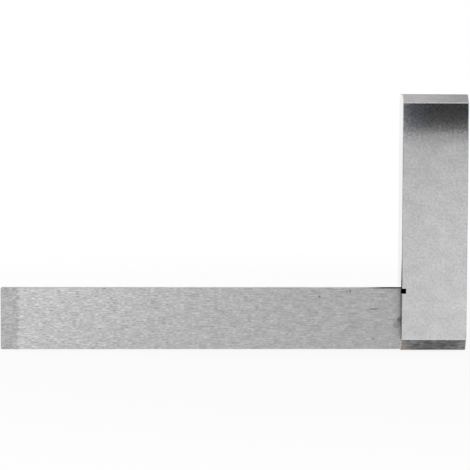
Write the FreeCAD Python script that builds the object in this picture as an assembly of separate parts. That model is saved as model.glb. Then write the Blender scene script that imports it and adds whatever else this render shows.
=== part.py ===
"""Fixed steel square: a thick ground stock with a thin blade let into a slot across its foot.

Millimetres. +Z runs up the stock, the blade reaches out along -X, and Y is the thickness.
The origin is on the base plane, in the middle of the thickness, below the stock's inner face.
Blade and stock end share the base plane, so the square stands on both.
"""
import os

import FreeCAD
import Part

# Blade: a flat ground strip, measured from the stock's inner face
BLADE_REACH = 150.0
BLADE_WIDTH = 23.2
BLADE_THICKNESS = 3.0
BLADE_CORNER_RADIUS = 0.5
BLADE_EDGE_BREAK = 0.12

# Stock: a ground bar with a flat bevel at each end of its two broad faces
STOCK_LENGTH = 96.0
STOCK_WIDTH = 24.5
STOCK_THICKNESS = 15.0
STOCK_EDGE_BREAK = 0.25
TOP_BEVEL_HEIGHT = 3.0
FOOT_BEVEL_HEIGHT = 4.4
BEVEL_DEPTH = 3.0

# Slot across the stock's foot, open at the end and at both sides
SLOT_CLEARANCE = 0.01

# Relief notch, a square cut in the stock's inner face where the blade's inner edge enters it
RELIEF_DEPTH = 1.7
RELIEF_HEIGHT = 1.9
RELIEF_RISE = 0.35

# Rivets: peened into countersunk holes and ground flush with the broad faces
RIVET_RADIUS = 2.0
RIVET_HEAD_FLARE = 0.6
RIVET_HEAD_DEPTH = 0.6
RIVET_CLEARANCE = 0.01
RIVET_SIDE_LAND = 4.0
RIVET_EDGE_LAND = 1.5

# Places that follow from the sizes above
SLOT_CEILING = BLADE_WIDTH + SLOT_CLEARANCE
RELIEF_FLOOR = BLADE_WIDTH + RELIEF_RISE - RELIEF_HEIGHT
RIVET_HEAD_RADIUS = RIVET_RADIUS + RIVET_HEAD_FLARE
RIVET_NEAR_X = RIVET_SIDE_LAND + RIVET_HEAD_RADIUS
RIVET_FAR_X = STOCK_WIDTH - RIVET_NEAR_X
RIVET_LOW_Z = FOOT_BEVEL_HEIGHT + RIVET_EDGE_LAND + RIVET_HEAD_RADIUS
RIVET_HIGH_Z = BLADE_WIDTH - RIVET_EDGE_LAND - RIVET_HEAD_RADIUS
RIVET_MIDDLE_Z = (RIVET_LOW_Z + RIVET_HIGH_Z) / 2
RIVET_PLACES = [
    (RIVET_NEAR_X, RIVET_LOW_Z),
    (RIVET_NEAR_X, RIVET_HIGH_Z),
    (RIVET_FAR_X, RIVET_MIDDLE_Z),
]

ACROSS = FreeCAD.Vector(0, 1, 0)


def side_point(x, z):
    """Point of a side outline, on the front face of a blade."""
    return FreeCAD.Vector(x, -BLADE_THICKNESS / 2, z)


def blade():
    """Strip from its rounded free end to the stock's outer face, with its long edges broken."""
    free_end = -BLADE_REACH
    tail_end = STOCK_WIDTH
    radius = BLADE_CORNER_RADIUS
    swing = radius * 0.5**0.5
    low_arc = Part.Arc(
        side_point(free_end, radius),
        side_point(free_end + radius - swing, radius - swing),
        side_point(free_end + radius, 0),
    )
    high_arc = Part.Arc(
        side_point(free_end + radius, BLADE_WIDTH),
        side_point(free_end + radius - swing, BLADE_WIDTH - radius + swing),
        side_point(free_end, BLADE_WIDTH - radius),
    )
    outline = Part.Wire([
        low_arc.toShape(),
        Part.makeLine(side_point(free_end + radius, 0), side_point(tail_end, 0)),
        Part.makeLine(side_point(tail_end, 0), side_point(tail_end, BLADE_WIDTH)),
        Part.makeLine(side_point(tail_end, BLADE_WIDTH), side_point(free_end + radius, BLADE_WIDTH)),
        high_arc.toShape(),
        Part.makeLine(side_point(free_end, BLADE_WIDTH - radius), side_point(free_end, radius)),
    ])
    strip = Part.Face(outline).extrude(ACROSS * BLADE_THICKNESS)
    outline_edges = [edge for edge in strip.Edges if abs(edge.CenterOfMass.y) > BLADE_THICKNESS / 4]
    return strip.makeChamfer(BLADE_EDGE_BREAK, outline_edges).cut(rivet_holes())


def stock_bar():
    """Bar with the four end bevels, and every edge broken."""
    half = STOCK_THICKNESS / 2
    end_half = half - BEVEL_DEPTH
    shoulder = STOCK_LENGTH - TOP_BEVEL_HEIGHT
    profile = [
        (-half, FOOT_BEVEL_HEIGHT),
        (-end_half, 0),
        (end_half, 0),
        (half, FOOT_BEVEL_HEIGHT),
        (half, shoulder),
        (end_half, STOCK_LENGTH),
        (-end_half, STOCK_LENGTH),
        (-half, shoulder),
    ]
    corners = [FreeCAD.Vector(0, y, z) for y, z in profile]
    face = Part.Face(Part.makePolygon(corners + corners[:1]))
    bar = face.extrude(FreeCAD.Vector(STOCK_WIDTH, 0, 0))
    return bar.makeChamfer(STOCK_EDGE_BREAK, bar.Edges)


def slot():
    """Space for the blade: open at the stock's foot and at both its sides."""
    width = BLADE_THICKNESS + 2 * SLOT_CLEARANCE
    margin = STOCK_WIDTH
    corner = FreeCAD.Vector(-margin, -width / 2, -margin)
    return Part.makeBox(STOCK_WIDTH + 2 * margin, width, SLOT_CEILING + margin, corner)


def relief_notch():
    """Square cut across both cheeks, from below the blade's inner edge to a little above it."""
    margin = STOCK_THICKNESS
    corner = FreeCAD.Vector(-margin, -margin, RELIEF_FLOOR)
    return Part.makeBox(RELIEF_DEPTH + margin, 2 * margin, RELIEF_HEIGHT, corner)


def rivet_shape(place, clearance):
    """Shank with a flared head at each end, from one broad face of the stock to the other."""
    x, z = place
    half = STOCK_THICKNESS / 2
    neck = half - RIVET_HEAD_DEPTH
    shank_radius = RIVET_RADIUS + clearance
    head_radius = RIVET_HEAD_RADIUS + clearance
    section = [
        (0, -half),
        (head_radius, -half),
        (shank_radius, -neck),
        (shank_radius, neck),
        (head_radius, half),
        (0, half),
    ]
    points = [FreeCAD.Vector(x + radius, y, z) for radius, y in section]
    face = Part.Face(Part.makePolygon(points + points[:1]))
    return face.revolve(FreeCAD.Vector(x, 0, z), ACROSS, 360)


def rivet_holes():
    """Countersunk holes through cheeks and blade, one for each rivet."""
    return Part.makeCompound([rivet_shape(place, RIVET_CLEARANCE) for place in RIVET_PLACES])


def stock():
    """Bar with its slot, relief notch and rivet holes."""
    return stock_bar().cut(slot()).cut(relief_notch()).cut(rivet_holes())


def as_solid(shape):
    """The one solid that a cut leaves, without its compound."""
    solid = shape.Solids[0]
    if len(shape.Solids) != 1 or not solid.isValid():
        raise ValueError("a piece is not one valid solid")
    return solid


pieces = {"stock": stock(), "blade": blade()}
for number, rivet_place in enumerate(RIVET_PLACES, start=1):
    pieces[f"rivet_{number}"] = rivet_shape(rivet_place, 0)

os.makedirs("parts", exist_ok=True)
for name, piece in pieces.items():
    as_solid(piece).exportStep(f"parts/{name}.step")
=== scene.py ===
"""A fixed steel square, standing on its stock's foot and its blade's outer edge."""
import math

import bpy
import numpy as np
from mathutils import Matrix, Vector


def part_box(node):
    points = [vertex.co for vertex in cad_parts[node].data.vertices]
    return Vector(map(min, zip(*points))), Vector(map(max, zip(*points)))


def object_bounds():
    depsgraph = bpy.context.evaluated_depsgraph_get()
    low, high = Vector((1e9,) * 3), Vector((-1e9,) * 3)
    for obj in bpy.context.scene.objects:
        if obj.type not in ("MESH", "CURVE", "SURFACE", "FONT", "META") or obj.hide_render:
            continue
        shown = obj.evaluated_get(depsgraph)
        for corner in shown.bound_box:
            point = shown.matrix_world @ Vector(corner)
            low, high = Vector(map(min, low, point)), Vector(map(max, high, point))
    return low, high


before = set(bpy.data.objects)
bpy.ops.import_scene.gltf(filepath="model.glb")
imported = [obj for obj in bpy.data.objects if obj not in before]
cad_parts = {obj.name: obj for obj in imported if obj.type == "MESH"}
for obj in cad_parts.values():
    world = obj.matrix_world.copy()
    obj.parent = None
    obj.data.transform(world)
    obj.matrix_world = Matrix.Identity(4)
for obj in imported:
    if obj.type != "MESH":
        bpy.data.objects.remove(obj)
cad_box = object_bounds()


# --------------------------------------------------------------------------------------------------
# Stock. A bar of mild steel, sawn to length, slotted across its foot and surface ground all over.
# Its broad faces have an even satin, under painted shade that darkens them upwards and painted light to
# the right, its sides are lapped brighter, and its end bevels keep the marks of a coarser wheel. Painted
# shade darkens the foot's bevels, the top's bevels to the right, the upright arrises and the crest, and a
# painted highlight lightens the ridge. Painted shade, dark and matt, fills the notch and lies along the
# edges beside it.

MM = 0.001

# A pattern's size is that of its cells across, through and up the bar. The widths take a 60 grit
# wheel, with grains 0.25 mm across, for the broad faces, 120 grit, 0.12 mm, for the sides, and 36 grit,
# 0.5 mm, for the bevels. The finer two wouldn't show, so they are drawn three to four times as wide.
# A swing is how far a pattern varies what it touches. Four values together are a fade: from the first
# place to the second, from the third value to the fourth.
STOCK_COLOR = "CFCFCF"
STOCK_ROUGHNESS = 0.34
SATIN = (0.95 * MM, 0.95 * MM, 0.85 * MM)
SATIN_SWING = 0.5
SATIN_SWING_ADDED = (76 * MM, 84 * MM, 0.0, 0.8)    # up the front, towards the top
SATIN_ROUGHNESS_SWING = 0.3
SATIN_WAVE = 0.05 * MM                              # height of the satin's unevenness
CLOUD = (7 * MM, 7 * MM, 5 * MM)                    # patches where the wheel cut a little harder
CLOUD_SWING = 0.3
# Painted shade and light on the broad faces: darker upwards, lighter across to the right.
PAINTED_SHADE_UP = (45 * MM, 80 * MM, 1.0, 0.93)             # painted shade: the broad faces darker upwards
PAINTED_LIGHT_ACROSS = (4 * MM, 20 * MM, 0.99, 1.05)

SIDE_COLOR = "DEDEDE"
SIDE_ROUGHNESS = 0.1
LAPPED = (0.4 * MM, 0.4 * MM, 16 * MM)
LAPPED_SWING = 0.4
LAPPED_ROUGHNESS_SWING = 1.0

BEVEL_DETAIL = 3.0                                  # the coarser wheel's marks have rougher edges
TOP_BEVEL_COLOR = "C6C4C5"
STREAK = (4 * MM, 0.5 * MM, 0.4 * MM)
STREAK_SWING = 0.5
# Painted shade: the top's bevels darker to the right.
TOP_BEVEL_PAINTED_SHADE = (5 * MM, 23 * MM, 0.95, 0.72)

# Painted shade: the foot's bevels, which face down, are given a far darker grey than the top's.
FOOT_BEVEL_PAINTED_SHADE_COLOR = "7D7F82"
SPECK = (1.9 * MM, 0.9 * MM, 0.5 * MM)
SPECK_SWING = 2.2
FOOT_BEVEL_ACROSS = (5 * MM, 12 * MM, 0.79, 1.12)   # out from the bar's middle
STAIN_COLOR = "69655E"
STAIN = (3.5 * MM, 1.5 * MM, 1.2 * MM)
STAIN_EDGE = (0.4, 0.65, 0.0, 1.0)                  # of the pattern
RUST_COLOR = "8E817A"
RUST_SPOT = (0.4 * MM, 1.7 * MM, 2.6 * MM, 2.2 * MM)    # centre along X and Z, and half sizes
RUST_IN_SPECKS = (0.35, 0.55, 0.4, 1.0)
MARK_FADE = (0.3, 1.0, 1.0, 0.0)                    # of the square of the way out from a spot's middle

# Which way a surface faces tells what it is: parts of its normal along X or Z, as fades, or as the
# middle and half width of a range.
BEVEL_FROM = (0.45, 0.5, 0.0, 1.0)
BEVEL_TO = (0.85, 0.9, 1.0, 0.0)
SIDE_FROM = (0.8, 0.9, 0.0, 1.0)
END_FROM = (0.96, 0.98, 0.0, 1.0)
INWARD = -0.3
ARRIS = (0.575, 0.275)                              # the upright arrises
RIDGE = (0.375, 0.175)                              # the arris between broad face and top bevel
CREST = (0.88, 0.08)                                # the arris between top bevel and top
# Painted shade and highlight on the arrises: the upright ones darker, the inner one darkest by the blade,
# the ridge lighter and the crest darker.
ARRIS_PAINTED_SHADE = 0.75                                  # painted shade: of the brightness beside it
ARRIS_PAINTED_SHADE_FROM_NOTCH = (0.0, 22 * MM, 0.4, ARRIS_PAINTED_SHADE)
RIDGE_PAINTED_HIGHLIGHT = 1.6
CREST_PAINTED_SHADE = 0.3

# Painted shade: a dark matt colour laid over the notch, the corner where the blade meets the stock, and
# the front arris beside it.
PAINTED_SHADE_COLOR = "0A0908"
NOTCH_DEPTH = 1.7 * MM
NOTCH_HEIGHT = 1.9 * MM
NOTCH_RISE = 0.35 * MM                              # above the blade's upper edge
NOTCH_MARGIN = 0.02 * MM
SHADE_PATCH = (2.5 * MM, 2.5 * MM, 3 * MM)
SHADE_PATCH_SWING = 1.6
CORNER_SHADE = (3.5 * MM, 6.5 * MM, 0.0, 0.55)        # up the corner in front of the blade
CORNER_SHADE_WAVE = 9 * MM                            # swing of its lower end
ARRIS_SHADE_IN = (0.5 * MM, 3.5 * MM, 1.0, 0.0)       # in from the front
ARRIS_SHADE_UP = (1 * MM, 14.8 * MM, 0.9, 0.0)        # up from the blade's upper edge


def linear(hex_color):
    """sRGB hex to linear RGBA: the power law above the knee, and the straight part under it."""
    srgb = np.array([int(hex_color[i:i + 2], 16) for i in (0, 2, 4)]) / 255
    rgb = np.where(srgb <= 0.04045, srgb / 12.92, ((srgb + 0.055) / 1.055) ** 2.4)
    return (*rgb.tolist(), 1.0)


def feed(tree, socket, value):
    """Links a socket or a node's first output in use to this socket, or sets it to a plain value."""
    if isinstance(value, bpy.types.Node):
        value = next(output for output in value.outputs if output.enabled)
    if isinstance(value, bpy.types.NodeSocket):
        tree.links.new(value, socket)
    else:
        socket.default_value = value


def add(tree, kind, inputs=(), **settings):
    """Adds a node with its settings, and feeds its inputs, by name or in the order of those in use."""
    node = tree.nodes.new("ShaderNode" + kind)
    for name, value in settings.items():
        setattr(node, name, value)
    in_use = [number for number, socket in enumerate(node.inputs) if socket.enabled]
    fed = inputs.items() if isinstance(inputs, dict) else zip(in_use, inputs)
    for key, value in fed:
        feed(tree, node.inputs[key], value)
    return node


def cells(tree, position, size, detail=2.0):
    """Noise on position / size, so that its cells have that size in metres. It runs about 0.5."""
    stretch = tuple(1 / length for length in size)
    placed = add(tree, "Mapping", {"Vector": position, "Scale": stretch})
    return add(tree, "TexNoise", {"Vector": placed, "Scale": 1.0, "Detail": detail})


def swung(tree, middle, pattern, swing):
    """Middle + swing * (pattern - 0.5)."""
    off = add(tree, "Math", [pattern, 0.5], operation="SUBTRACT")
    return add(tree, "Math", [off, swing, middle], operation="MULTIPLY_ADD")


def product(tree, first, *others):
    """All the values multiplied: of masks, the place that lies in every one of them."""
    for other in others:
        first = add(tree, "Math", [first, other], operation="MULTIPLY")
    return first


def mark(tree, x, z, middle_x, middle_z, half_x, half_z):
    """An oval spot in X and Z: a fade of (dx / half_x)^2 + (dz / half_z)^2, from 1 inside to 0 outside."""
    squares = []
    for along, middle, half in ((x, middle_x, half_x), (z, middle_z, half_z)):
        away = add(tree, "Math", [along, middle], operation="SUBTRACT")
        away = add(tree, "Math", [away, half], operation="DIVIDE")
        squares.append(product(tree, away, away))
    together = add(tree, "Math", squares, operation="ADD")
    return add(tree, "MapRange", [together, *MARK_FADE], interpolation_type="SMOOTHSTEP")


def new_metal(name, roughness):
    """A metal with a Principled shader, and this roughness before any pattern."""
    material = bpy.data.materials.new(name)
    material.use_nodes = True
    shader = material.node_tree.nodes["Principled BSDF"]
    shader.inputs["Metallic"].default_value = 1.0
    shader.inputs["Roughness"].default_value = roughness
    return material, material.node_tree, shader


def painted_shade_over(tree, shader, share):
    """Covers that share of a metal with painted shade, a dark matt colour that hides it."""
    painted_dark = add(tree, "BsdfDiffuse", [linear(PAINTED_SHADE_COLOR)])
    both = add(tree, "MixShader", [share, shader, painted_dark])
    feed(tree, tree.nodes["Material Output"].inputs["Surface"], both)


blade_low, blade_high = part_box("blade")
stock_low, stock_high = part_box("stock")


def satin_faces(tree, position, grain):
    """Colour of the broad faces: the satin's cells, soft patches, and painted shade, darker upwards and
    lighter to the right.
    """
    x, y, z = add(tree, "SeparateXYZ", [position]).outputs
    front = add(tree, "Math", [y, 0.0], operation="LESS_THAN")
    added = add(tree, "MapRange", [z, *SATIN_SWING_ADDED], interpolation_type="SMOOTHSTEP")
    swing = add(tree, "Math", [front, added, SATIN_SWING], operation="MULTIPLY_ADD")
    share = product(
        tree,
        swung(tree, 1.0, grain, swing),
        swung(tree, 1.0, cells(tree, position, CLOUD), CLOUD_SWING),
        add(tree, "MapRange", [z, *PAINTED_SHADE_UP], interpolation_type="SMOOTHSTEP"),
        add(tree, "MapRange", [x, *PAINTED_LIGHT_ACROSS], interpolation_type="SMOOTHSTEP"),
    )
    return add(tree, "VectorMath", [linear(STOCK_COLOR)[:3], share], operation="SCALE")


def top_bevels(tree, position):
    """Colour of the top's bevels: long streaks, and painted shade that darkens them to the right."""
    x = add(tree, "SeparateXYZ", [position]).outputs[0]
    streaks = swung(tree, 1.0, cells(tree, position, STREAK, detail=BEVEL_DETAIL), STREAK_SWING)
    painted_fall = add(tree, "MapRange", [x, *TOP_BEVEL_PAINTED_SHADE], interpolation_type="SMOOTHSTEP")
    share = product(tree, streaks, painted_fall)
    return add(tree, "VectorMath", [linear(TOP_BEVEL_COLOR)[:3], share], operation="SCALE")


def foot_bevels(tree, position):
    """Colour of the foot's bevels: a dark grey of painted shade, short specks, brown stains, a rust spot,
    and paler ends.
    """
    x, _, z = add(tree, "SeparateXYZ", [position]).outputs
    speck = cells(tree, position, SPECK, detail=BEVEL_DETAIL)
    patches = cells(tree, position, STAIN)
    stain = add(tree, "MapRange", [patches, *STAIN_EDGE], interpolation_type="SMOOTHSTEP")
    color = add(tree, "Mix", [stain, linear(FOOT_BEVEL_PAINTED_SHADE_COLOR), linear(STAIN_COLOR)], data_type="RGBA")
    rusty = add(tree, "MapRange", [speck, *RUST_IN_SPECKS], interpolation_type="SMOOTHSTEP")
    rust = product(tree, mark(tree, x, z, *RUST_SPOT), rusty)
    color = add(tree, "Mix", [rust, color, linear(RUST_COLOR)], data_type="RGBA")
    from_middle = add(tree, "Math", [x, (stock_low.x + stock_high.x) / 2], operation="SUBTRACT")
    from_middle = add(tree, "Math", [from_middle], operation="ABSOLUTE")
    ends = add(tree, "MapRange", [from_middle, *FOOT_BEVEL_ACROSS], interpolation_type="SMOOTHSTEP")
    share = product(tree, swung(tree, 1.0, speck, SPECK_SWING), ends)
    return add(tree, "VectorMath", [color, share], operation="SCALE")


def painted_shade_on_stock(tree, position, inner):
    """Share of painted shade: all of the notch, patches in the corner under it, and a line up the front
    arris.
    """
    x, y, z = add(tree, "SeparateXYZ", [position]).outputs
    above = add(tree, "Math", [z, blade_high.z], operation="SUBTRACT")
    beside_blade = add(tree, "Math", [above, 0.0], operation="LESS_THAN")

    patch = cells(tree, position, SHADE_PATCH)
    wavy = swung(tree, z, patch, CORNER_SHADE_WAVE)
    shade_rise = add(tree, "MapRange", [wavy, *CORNER_SHADE], interpolation_type="SMOOTHSTEP")
    front = add(tree, "Math", [y, 0.0], operation="LESS_THAN")
    corner = product(tree, front, shade_rise, swung(tree, 1.0, patch, SHADE_PATCH_SWING))

    inside = add(tree, "Math", [y, stock_low.y], operation="SUBTRACT")
    inside = add(tree, "MapRange", [inside, *ARRIS_SHADE_IN], interpolation_type="SMOOTHSTEP")
    upward = add(tree, "MapRange", [above, *ARRIS_SHADE_UP], interpolation_type="SMOOTHSTEP")
    line = add(tree, "Mix", [beside_blade, product(tree, inside, upward), corner])

    depth = stock_low.x + NOTCH_DEPTH + NOTCH_MARGIN
    shallow = add(tree, "Math", [x, depth], operation="LESS_THAN")
    notch_up = (NOTCH_RISE - NOTCH_HEIGHT / 2, NOTCH_HEIGHT / 2 + NOTCH_MARGIN)
    level = add(tree, "Math", [above, *notch_up], operation="COMPARE")
    notch = product(tree, shallow, level)
    return add(tree, "Math", [product(tree, inner, line), notch], operation="MAXIMUM")


def ground_mild_steel():
    """Gives each surface its finish by the way it faces, paints shade on the arrises and a highlight on
    the ridge, then lays painted shade over the notch and by the blade.
    """
    material, tree, shader = new_metal("ground_mild_steel", STOCK_ROUGHNESS)
    place = add(tree, "TexCoord")
    position = place.outputs["Object"]
    z = add(tree, "SeparateXYZ", [position]).outputs[2]
    facing_x, _, facing_z = add(tree, "SeparateXYZ", [place.outputs["Normal"]]).outputs
    sideways = add(tree, "Math", [facing_x], operation="ABSOLUTE")
    steepness = add(tree, "Math", [facing_z], operation="ABSOLUTE")
    inner = add(tree, "Math", [facing_x, INWARD], operation="LESS_THAN")

    grain = cells(tree, position, SATIN)
    # The downward bevels take the foot's darker colour, a painted shade.
    downward = add(tree, "Math", [facing_z, 0.0], operation="LESS_THAN")
    bevels = [downward, top_bevels(tree, position), foot_bevels(tree, position)]
    bevel = add(tree, "Mix", bevels, data_type="RGBA")
    sloped = product(
        tree,
        add(tree, "MapRange", [steepness, *BEVEL_FROM], interpolation_type="SMOOTHSTEP"),
        add(tree, "MapRange", [steepness, *BEVEL_TO], interpolation_type="SMOOTHSTEP"),
    )
    steel = add(tree, "Mix", [sloped, satin_faces(tree, position, grain), bevel], data_type="RGBA")
    # Painted highlight on the ridge and painted shade on the crest.
    for band, share in ((RIDGE, RIDGE_PAINTED_HIGHLIGHT), (CREST, CREST_PAINTED_SHADE)):
        painted_arris_light = add(tree, "Math", [facing_z, *band], operation="COMPARE")
        painted_arris_light = add(tree, "Mix", [painted_arris_light, 1.0, share])
        steel = add(tree, "VectorMath", [steel, painted_arris_light], operation="SCALE")

    side = add(tree, "MapRange", [sideways, *SIDE_FROM], interpolation_type="SMOOTHSTEP")
    end = add(tree, "MapRange", [steepness, *END_FROM], interpolation_type="SMOOTHSTEP")
    polished = add(tree, "Math", [side, end], operation="MAXIMUM")
    lapped = cells(tree, position, LAPPED)
    lines = swung(tree, 1.0, lapped, LAPPED_SWING)
    bright = add(tree, "VectorMath", [linear(SIDE_COLOR)[:3], lines], operation="SCALE")
    steel = add(tree, "Mix", [polished, steel, bright], data_type="RGBA")

    # Painted shade on the upright arrises, deepest on the inner one by the blade.
    from_notch = add(tree, "Math", [z, blade_high.z], operation="SUBTRACT")
    from_notch = add(tree, "Math", [from_notch], operation="ABSOLUTE")
    arris_shade = add(tree, "MapRange", [from_notch, *ARRIS_PAINTED_SHADE_FROM_NOTCH], interpolation_type="SMOOTHSTEP")
    arris_shade = add(tree, "Mix", [inner, ARRIS_PAINTED_SHADE, arris_shade])
    painted_arris_light = add(tree, "Math", [sideways, *ARRIS], operation="COMPARE")
    painted_arris_light = add(tree, "Mix", [painted_arris_light, 1.0, arris_shade])
    steel = add(tree, "VectorMath", [steel, painted_arris_light], operation="SCALE")
    feed(tree, shader.inputs["Base Color"], steel)

    satin = product(tree, swung(tree, 1.0, grain, SATIN_ROUGHNESS_SWING), STOCK_ROUGHNESS)
    polish = product(tree, swung(tree, 1.0, lapped, LAPPED_ROUGHNESS_SWING), SIDE_ROUGHNESS)
    feed(tree, shader.inputs["Roughness"], add(tree, "Mix", [polished, satin, polish]))
    uneven = add(tree, "Mix", [polished, 1.0, 0.0])
    wave = {"Height": grain, "Distance": SATIN_WAVE, "Strength": uneven}
    feed(tree, shader.inputs["Normal"], add(tree, "Bump", wave))
    # Painted shade, dark and matt, over the notch and by the blade.
    painted_shade_over(tree, shader, painted_shade_on_stock(tree, position, inner))
    return material


def finish_node(node, material):
    """Gives a CAD node its one material."""
    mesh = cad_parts[node].data
    mesh.materials.clear()
    mesh.materials.append(material)


stock_steel = ground_mild_steel()
finish_node("stock", stock_steel)


# --------------------------------------------------------------------------------------------------
# Blade. A strip of hardened tool steel, ground flat along its length and fixed in the stock's slot.
# The wheel's short scores run along it, coarser at the free end, where the last pass ran out in a
# duller band. Painted shade darkens its upper edge towards the stock and what the notch bares, and use has
# left small marks on its front.

# The scores are those of a 60 grit wheel too, a millimetre or more long. They are drawn a little
# wider than its grains, because the real ones wouldn't show.
BLADE_COLOR = "B4B4B4"
BLADE_ROUGHNESS = 0.36
SCORE = (1.4 * MM, 0.5 * MM, 0.32 * MM)
SCORE_SWING_AT_TIP = 1.55
SCORE_SWING_AT_STOCK = 0.9
SCORE_ROUGHNESS_SWING = 0.4
SCORE_WAVE = 0.01 * MM
SCORE_BUMP = 0.5
LINE = (5 * MM, 0.5 * MM, 0.28 * MM)
LINE_SWING = 0.9
PATCH = (3.5 * MM, 5 * MM, 1.6 * MM)
PATCH_SWING = 0.4
PATCH_WAVE = 3.5 * MM                               # swing of the ends of the tip band and the painted shade
TIP_FADE = (6.1 * MM, 7.1 * MM, 0.78, 1.0)          # brightness, from the free end
UPWARD = 0.3                                        # part of the normal along Z on the upper edge
EDGE_SHADE = (-15 * MM, -3.75 * MM, 0.0, 0.95)        # painted shade along the upper edge, to the stock
EDGE_SHADE_WIDTH = 0.25 * MM                          # down the broad faces
NOTCH_SHADE = (1.875 * MM, 1.525 * MM)                # painted shade in the notch: the middle and half width along X
BLADE_MARKS = [                                     # centre along X and Z, half sizes, light lost
    (-30.4 * MM, 19.8 * MM, 0.6 * MM, 0.5 * MM, 0.45),
    (-20.0 * MM, 21.8 * MM, 0.3 * MM, 0.6 * MM, 0.35),
    (-18.8 * MM, 22.0 * MM, 0.35 * MM, 1.0 * MM, 0.5),
    (-9.8 * MM, 15.2 * MM, 2.3 * MM, 0.32 * MM, 0.5),
    (-10.1 * MM, 3.9 * MM, 0.6 * MM, 0.5 * MM, 0.35),
    (-0.3 * MM, 11.2 * MM, 1.0 * MM, 1.1 * MM, 0.5),
    (-1.2 * MM, 9.2 * MM, 1.6 * MM, 1.6 * MM, 0.25),
]


def painted_shade_on_blade(tree, x, z, wavy_x, facing_z):
    """Share of painted shade: thickening along the upper edge to the stock, and all of what the notch
    bares.
    """
    edge_face = add(tree, "Math", [facing_z, UPWARD], operation="GREATER_THAN")
    edge_rim = add(tree, "Math", [z, blade_high.z - EDGE_SHADE_WIDTH], operation="GREATER_THAN")
    edge = add(tree, "Math", [edge_face, edge_rim], operation="MAXIMUM")
    from_stock = add(tree, "Math", [wavy_x, stock_low.x], operation="SUBTRACT")
    shade_to_stock = add(tree, "MapRange", [from_stock, *EDGE_SHADE], interpolation_type="SMOOTHSTEP")
    inside = add(tree, "Math", [x, stock_low.x], operation="SUBTRACT")
    in_notch = add(tree, "Math", [inside, *NOTCH_SHADE], operation="COMPARE")
    return add(tree, "Math", [in_notch, product(tree, edge, shade_to_stock)], operation="MAXIMUM")


def ground_tool_steel():
    """Short scores and longer lines along X, soft patches, a dull free end, small marks, and painted
    shade.
    """
    material, tree, shader = new_metal("ground_tool_steel", BLADE_ROUGHNESS)
    place = add(tree, "TexCoord")
    position = place.outputs["Object"]
    x, y, z = add(tree, "SeparateXYZ", [position]).outputs
    facing_z = add(tree, "SeparateXYZ", [place.outputs["Normal"]]).outputs[2]
    score = cells(tree, position, SCORE)
    patch = cells(tree, position, PATCH)
    wavy_x = swung(tree, x, patch, PATCH_WAVE)

    coarser = [x, blade_low.x, stock_low.x, SCORE_SWING_AT_TIP, SCORE_SWING_AT_STOCK]
    swing = add(tree, "MapRange", coarser, interpolation_type="SMOOTHSTEP")
    from_tip = add(tree, "Math", [wavy_x, blade_low.x], operation="SUBTRACT")
    share = product(
        tree,
        swung(tree, 1.0, score, swing),
        swung(tree, 1.0, cells(tree, position, LINE), LINE_SWING),
        swung(tree, 1.0, patch, PATCH_SWING),
        add(tree, "MapRange", [from_tip, *TIP_FADE], interpolation_type="SMOOTHSTEP"),
    )
    front = add(tree, "Math", [y, 0.0], operation="LESS_THAN")
    for *spot, lost in BLADE_MARKS:
        dark = product(tree, mark(tree, x, z, *spot), front, lost)
        share = product(tree, share, add(tree, "Math", [1.0, dark], operation="SUBTRACT"))
    steel = add(tree, "VectorMath", [linear(BLADE_COLOR)[:3], share], operation="SCALE")
    feed(tree, shader.inputs["Base Color"], steel)

    satin = product(tree, swung(tree, 1.0, score, SCORE_ROUGHNESS_SWING), BLADE_ROUGHNESS)
    feed(tree, shader.inputs["Roughness"], satin)
    wave = {"Height": score, "Distance": SCORE_WAVE, "Strength": SCORE_BUMP}
    feed(tree, shader.inputs["Normal"], add(tree, "Bump", wave))
    # Painted shade along the upper edge by the stock and in the notch.
    painted_shade_over(tree, shader, painted_shade_on_blade(tree, x, z, wavy_x, facing_z))
    return material


finish_node("blade", ground_tool_steel())


# --------------------------------------------------------------------------------------------------
# Rivets. Three soft steel pins through cheeks and blade, peened into countersinks and ground off
# with the stock, whose finish runs over their ends.

for number in (1, 2, 3):
    finish_node(f"rivet_{number}", stock_steel)


# --------------------------------------------------------------------------------------------------
# Studio. A pale floor under a white surround, and a soft lamp to the left. A dark card leans over the
# front of the stock's top, which mirrors it as a shade that fades downwards.

FLOOR_HALF = 1.5
FLOOR_COLOR = "E7E7E7"
WHITE = "FFFFFF"
WHITE_AWAY = (0.08, 0.45, 0.85, 1.0)                # share of the floor that shows as pure white
BEHIND = (-0.1, 0.3, 0.0, 1.0)                      # part of the direction along Y
SURROUND_LEVEL = (0.1, 0.8, 0.3, 0.8)               # by the part along Z


def flat_sheet(name, origin, across, up):
    """Rectangle from a corner point and its two sides."""
    start, a, b = Vector(origin), Vector(across), Vector(up)
    mesh = bpy.data.meshes.new(name)
    mesh.from_pydata([start, start + a, start + a + b, start + b], [], [(0, 1, 2, 3)])
    sheet = bpy.data.objects.new(name, mesh)
    bpy.context.scene.collection.objects.link(sheet)
    return sheet


def new_shader_tree(block, output_kind):
    """Empties a material's or a world's tree and gives it one output node."""
    block.use_nodes = True
    block.node_tree.nodes.clear()
    return block.node_tree, add(block.node_tree, output_kind)


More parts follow.
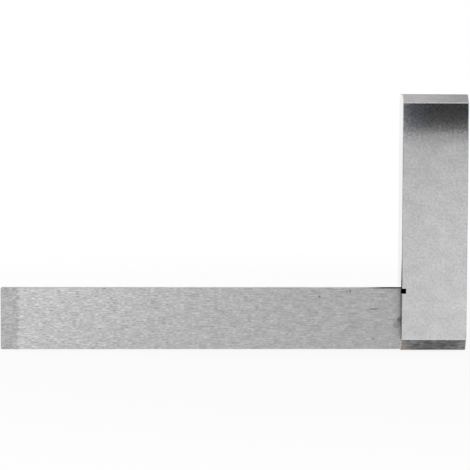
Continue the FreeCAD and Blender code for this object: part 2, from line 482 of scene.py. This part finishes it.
def pale_floor():
    """Matt pale grey for the light, and nearly white to the eye, with a soft shadow left in it."""
    material = bpy.data.materials.new("pale_floor")
    tree, output = new_shader_tree(material, "OutputMaterial")
    ray = add(tree, "LightPath").outputs
    looked_at = add(tree, "Math", [ray["Is Camera Ray"], ray["Is Glossy Ray"]], operation="MAXIMUM")
    matt = add(tree, "BsdfDiffuse", [linear(FLOOR_COLOR)])
    chalk = add(tree, "BsdfDiffuse", [linear(WHITE)])
    glow = add(tree, "Emission", [linear(WHITE), 1.0])
    position = add(tree, "TexCoord").outputs["Object"]
    away = add(tree, "VectorMath", [position], operation="LENGTH")
    white = add(tree, "MapRange", [away, *WHITE_AWAY], interpolation_type="SMOOTHSTEP")
    seen = add(tree, "MixShader", [white, chalk, glow])
    feed(tree, output.inputs["Surface"], add(tree, "MixShader", [looked_at, matt, seen]))
    return material


floor = flat_sheet("floor", (-FLOOR_HALF, -FLOOR_HALF, 0), (2 * FLOOR_HALF, 0, 0), (0, 2 * FLOOR_HALF, 0))
floor.data.materials.append(pale_floor())


def surround():
    """White where the camera or a reflection sees behind the square, and a soft grey light elsewhere."""
    world = bpy.data.worlds.new("surround")
    tree, output = new_shader_tree(world, "OutputWorld")
    ray = add(tree, "LightPath").outputs
    direction = add(tree, "TexCoord").outputs["Generated"]
    _, y, z = add(tree, "SeparateXYZ", [direction]).outputs
    behind = add(tree, "MapRange", [y, *BEHIND], interpolation_type="SMOOTHSTEP")
    mirrored = product(tree, ray["Is Glossy Ray"], behind)
    white = add(tree, "Math", [ray["Is Camera Ray"], mirrored], operation="MAXIMUM")
    level = add(tree, "MapRange", [z, *SURROUND_LEVEL], interpolation_type="SMOOTHSTEP")
    soft = add(tree, "Background", [linear(WHITE), level])
    bright = add(tree, "Background", [linear(WHITE), 1.0])
    feed(tree, output.inputs["Surface"], add(tree, "MixShader", [white, soft, bright]))
    bpy.context.scene.world = world


surround()

LAMP_AZIMUTH = math.radians(-25)                    # right of straight ahead
LAMP_ELEVATION = math.radians(9)
LAMP_DISTANCE = 0.9
LAMP_WIDTH = 0.5
LAMP_HEIGHT = 0.28
LAMP_LEVEL = 6.0

centre = (cad_box[0] + cad_box[1]) / 2


def towards(azimuth, elevation):
    """Unit vector from the square to a place in front: azimuth to the right, elevation up."""
    return Vector((
        math.sin(azimuth) * math.cos(elevation),
        -math.cos(azimuth) * math.cos(elevation),
        math.sin(elevation),
    ))


def soft_lamp():
    """Area lamp that points at the square's middle. Its power is pi * its area * its level."""
    away = towards(LAMP_AZIMUTH, LAMP_ELEVATION)
    lamp = bpy.data.objects.new("key_lamp", bpy.data.lights.new("key_lamp", "AREA"))
    lamp.data.shape = "RECTANGLE"
    lamp.data.size = LAMP_WIDTH
    lamp.data.size_y = LAMP_HEIGHT
    lamp.data.energy = LAMP_LEVEL * math.pi * LAMP_WIDTH * LAMP_HEIGHT
    lamp.location = centre + away * LAMP_DISTANCE
    lamp.rotation_euler = away.to_track_quat("Z", "Y").to_euler()
    bpy.context.scene.collection.objects.link(lamp)


soft_lamp()

CARD_LOW_EDGE = (17.0 * MM, 80.1 * MM)              # gap to the stock's front, and height
CARD_HIGH_EDGE = (5.0 * MM, 97.0 * MM)
CARD_LEFT = -7 * MM
CARD_RIGHT = 60 * MM
CARD_RIGHT_COLOR = "38383A"
CARD_MIDDLE_COLOR = "565A66"
CARD_LEFT_COLOR = "E8E8EC"
CARD_DARKER = (2 * MM, 13 * MM, 0.0, 1.0)           # across
CARD_PALER = (-1.2 * MM, 0.1 * MM, 1.0, 0.0)


def dark_card():
    """Card that only reflections see: dark, bluer to the left, and past the stock's side as pale as the
    floor, where it just keeps the lamp off the stock's edge."""
    low_gap, low_height = CARD_LOW_EDGE
    high_gap, high_height = CARD_HIGH_EDGE
    corner = (CARD_LEFT, stock_low.y - low_gap, low_height)
    across = (CARD_RIGHT - CARD_LEFT, 0, 0)
    card = flat_sheet("dark_card", corner, across, (0, low_gap - high_gap, high_height - low_height))
    material = bpy.data.materials.new("dark_grey")
    tree, output = new_shader_tree(material, "OutputMaterial")
    x = add(tree, "SeparateXYZ", [add(tree, "TexCoord").outputs["Object"]]).outputs[0]
    darker = add(tree, "MapRange", [x, *CARD_DARKER], interpolation_type="SMOOTHSTEP")
    colors = [darker, linear(CARD_MIDDLE_COLOR), linear(CARD_RIGHT_COLOR)]
    grey = add(tree, "Mix", colors, data_type="RGBA")
    paler = add(tree, "MapRange", [x, *CARD_PALER], interpolation_type="SMOOTHSTEP")
    grey = add(tree, "Mix", [paler, grey, linear(CARD_LEFT_COLOR)], data_type="RGBA")
    feed(tree, output.inputs["Surface"], add(tree, "Emission", [grey, 1.0]))
    card.data.materials.append(material)
    card.visible_camera = False
    card.visible_diffuse = False


dark_card()


# --------------------------------------------------------------------------------------------------
# Camera. A long lens, a little to the left of the square and a little above its middle.

CAMERA_AIM = Vector((0.6, 0.0, -5.02)) * MM          # from the middle of the square
CAMERA_DISTANCE = 0.9004
CAMERA_AZIMUTH = math.radians(-1.52)
CAMERA_ELEVATION = math.radians(5.0)
CAMERA_ROLL = math.radians(0.18)
CAMERA_LENS = 183.7
CAMERA_NEAREST = 0.05
CAMERA_FURTHEST = 20.0

camera = bpy.data.objects.new("camera", bpy.data.cameras.new("camera"))
camera.data.lens = CAMERA_LENS
camera.data.clip_start = CAMERA_NEAREST
camera.data.clip_end = CAMERA_FURTHEST
back = towards(CAMERA_AZIMUTH, CAMERA_ELEVATION)
camera.matrix_world = (
    Matrix.Translation(Vector((centre.x, 0.0, centre.z)) + CAMERA_AIM + back * CAMERA_DISTANCE)
    @ back.to_track_quat("Z", "Y").to_matrix().to_4x4()
    @ Matrix.Rotation(CAMERA_ROLL, 4, "Z")
)
bpy.context.scene.collection.objects.link(camera)
bpy.context.scene.camera = camera
bpy.context.scene.view_settings.view_transform = "Standard"
